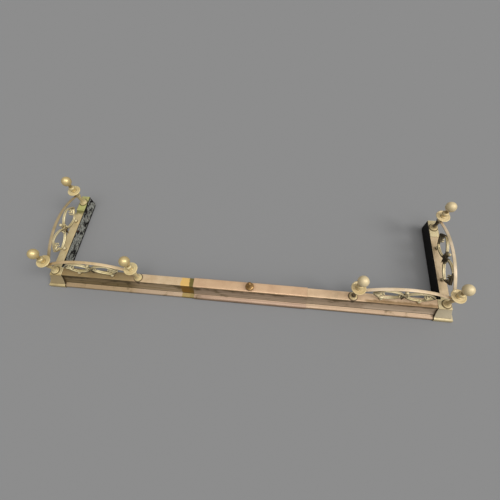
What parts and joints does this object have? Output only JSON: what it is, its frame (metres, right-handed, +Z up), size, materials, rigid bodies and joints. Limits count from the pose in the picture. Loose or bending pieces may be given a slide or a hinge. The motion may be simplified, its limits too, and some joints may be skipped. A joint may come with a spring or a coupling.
{
  "type": "extending fire fender",
  "caption": "Extending brass fire fender: a low moulded kerb round a hearth, with sliding arms, arched scroll galleries and ball finials.",
  "frame": {"origin": "middle of the footprint on the floor, with the arms drawn out as pictured", "axes": "+X along the front to the right as seen from the room, +Y towards the wall, +Z up"},
  "size_m": [1.2628, 0.33, 0.1835],
  "materials": {
    "sleeve_brass": "tarnished satin",
    "rail_brass": "tarnished satin",
    "cast_brass": "dull cast",
    "verdigris_brass": "green verdigris",
    "turned_brass": "satin, turned",
    "strap_brass": "tarnished satin",
    "scroll_brass": "cast, dark in the recesses",
    "black_iron": "worn black paint",
    "steel": "dull, oiled"
  },
  "bodies": {
    "sleeve": {"sleeve_cover": "sleeve_brass", "sleeve_back_plate": "black_iron", "sleeve_rivets": "turned_brass", "centre_knob": "turned_brass", "centre_knob_stud": "steel", "centre_knob_nut": "steel"},
    "left_arm": {"left_front_rail": "rail_brass", "left_return_rail": "rail_brass", "left_front_channel": "black_iron", "left_return_channel": "black_iron", "left_corner_casting": "cast_brass", "left_end_casting": "verdigris_brass", "left_corner_pillar": "turned_brass", "left_inner_pillar": "turned_brass", "left_back_pillar": "turned_brass", "left_corner_saucer": "turned_brass", "left_inner_saucer": "turned_brass", "left_back_saucer": "turned_brass", "left_corner_ball": "turned_brass", "left_inner_ball": "turned_brass", "left_back_ball": "turned_brass", "left_front_arch": "strap_brass", "left_return_arch": "strap_brass", "left_front_scroll": "scroll_brass", "left_return_scroll": "scroll_brass", "left_tie_rods": "steel", "left_tie_nuts": "steel", "left_scroll_screws": "steel"},
    "right_arm": {"right_front_rail": "rail_brass", "right_return_rail": "rail_brass", "right_front_channel": "black_iron", "right_return_channel": "black_iron", "right_corner_casting": "cast_brass", "right_end_casting": "cast_brass", "right_corner_pillar": "turned_brass", "right_inner_pillar": "turned_brass", "right_back_pillar": "turned_brass", "right_corner_saucer": "turned_brass", "right_inner_saucer": "turned_brass", "right_back_saucer": "turned_brass", "right_corner_ball": "turned_brass", "right_inner_ball": "turned_brass", "right_back_ball": "turned_brass", "right_front_arch": "strap_brass", "right_return_arch": "strap_brass", "right_front_scroll": "scroll_brass", "right_return_scroll": "scroll_brass", "right_tie_rods": "steel", "right_tie_nuts": "steel", "right_scroll_screws": "steel"}
  },
  "joints": [
    {"name": "left_slide", "type": "slide", "parent": "sleeve", "child": "left_arm", "axis": [-1, 0, 0], "range_m": [-0.074, 0.044]},
    {"name": "right_slide", "type": "slide", "parent": "sleeve", "child": "right_arm", "axis": [1, 0, 0], "range_m": [-0.028, 0.09]}
  ]
}
